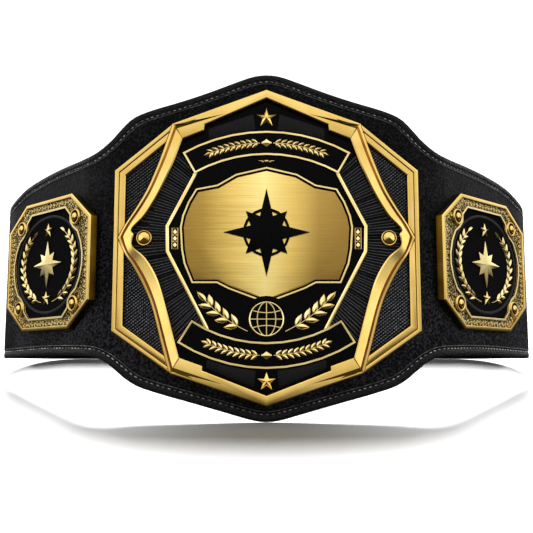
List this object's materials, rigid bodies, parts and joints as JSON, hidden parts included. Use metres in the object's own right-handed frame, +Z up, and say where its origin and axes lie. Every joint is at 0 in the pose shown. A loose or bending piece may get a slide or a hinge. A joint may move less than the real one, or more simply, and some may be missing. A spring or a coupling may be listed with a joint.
{
  "type": "championship title belt",
  "caption": "Black leather waist strap closed at the back by snaps, with a large gold blade-framed centre plate and octagonal side plates.",
  "frame": {"origin": "middle of the belt's bounding box, on the surface that it stands on", "axes": "+X to the viewer's right along the front plates, +Y from the main plate towards the overlapped tails, +Z up; the belt stands tipped back by 15.9 degrees"},
  "size_m": [0.5274, 0.2508, 0.2913],
  "materials": {
    "leather": "black fine-grained leather, semi-matt",
    "polished_gold": "polished gold plating on cast metal",
    "brushed_gold": "gold plating brushed along the plate",
    "black_enamel": "smooth black enamel",
    "black_texture": "black enamel over a pebbled or ribbed casting"
  },
  "bodies": {
    "root": {"banner_bottom": "black_enamel", "banner_line_bottom": "polished_gold", "banner_line_top": "polished_gold", "banner_ornament_bottom": "polished_gold", "banner_ornament_top": "polished_gold", "banner_top": "black_enamel", "blade_left": "polished_gold", "blade_right": "polished_gold", "centre_emblem": "black_enamel", "centre_field": "black_enamel", "centre_line": "polished_gold", "centre_plate": "brushed_gold", "centre_ring_left": "polished_gold", "centre_ring_right": "polished_gold", "chevron_bottom": "polished_gold", "chevron_top": "polished_gold", "globe": "polished_gold", "laurel_left": "polished_gold", "laurel_right": "polished_gold", "main_base": "black_enamel", "main_rivet_left": "polished_gold", "main_rivet_right": "polished_gold", "ribbed_panel_left": "black_texture", "ribbed_panel_right": "black_texture", "scroll_inset_left": "polished_gold", "scroll_inset_right": "polished_gold", "side_emblem_left": "polished_gold", "side_emblem_right": "polished_gold", "side_field_left": "black_enamel", "side_field_right": "black_enamel", "side_line_left": "polished_gold", "side_line_right": "polished_gold", "side_plate_left": "polished_gold", "side_plate_right": "polished_gold", "side_rail_left": "polished_gold", "side_rail_right": "polished_gold", "side_rivet_1_left": "polished_gold", "side_rivet_1_right": "polished_gold", "side_rivet_2_left": "polished_gold", "side_rivet_2_right": "polished_gold", "side_rivet_3_left": "polished_gold", "side_rivet_3_right": "polished_gold", "side_rivet_4_left": "polished_gold", "side_rivet_4_right": "polished_gold", "side_star_left": "polished_gold", "side_star_right": "polished_gold", "side_wreath_left": "polished_gold", "side_wreath_right": "polished_gold", "star_bottom": "polished_gold", "star_top": "polished_gold", "strap": "leather", "tail_snap_1": "polished_gold", "tail_snap_2": "polished_gold", "tail_snap_3": "polished_gold", "tail_snap_4": "polished_gold", "textured_corner_lower_left": "black_texture", "textured_corner_lower_right": "black_texture", "textured_corner_upper_left": "black_texture", "textured_corner_upper_right": "black_texture"}
  },
  "joints": []
}
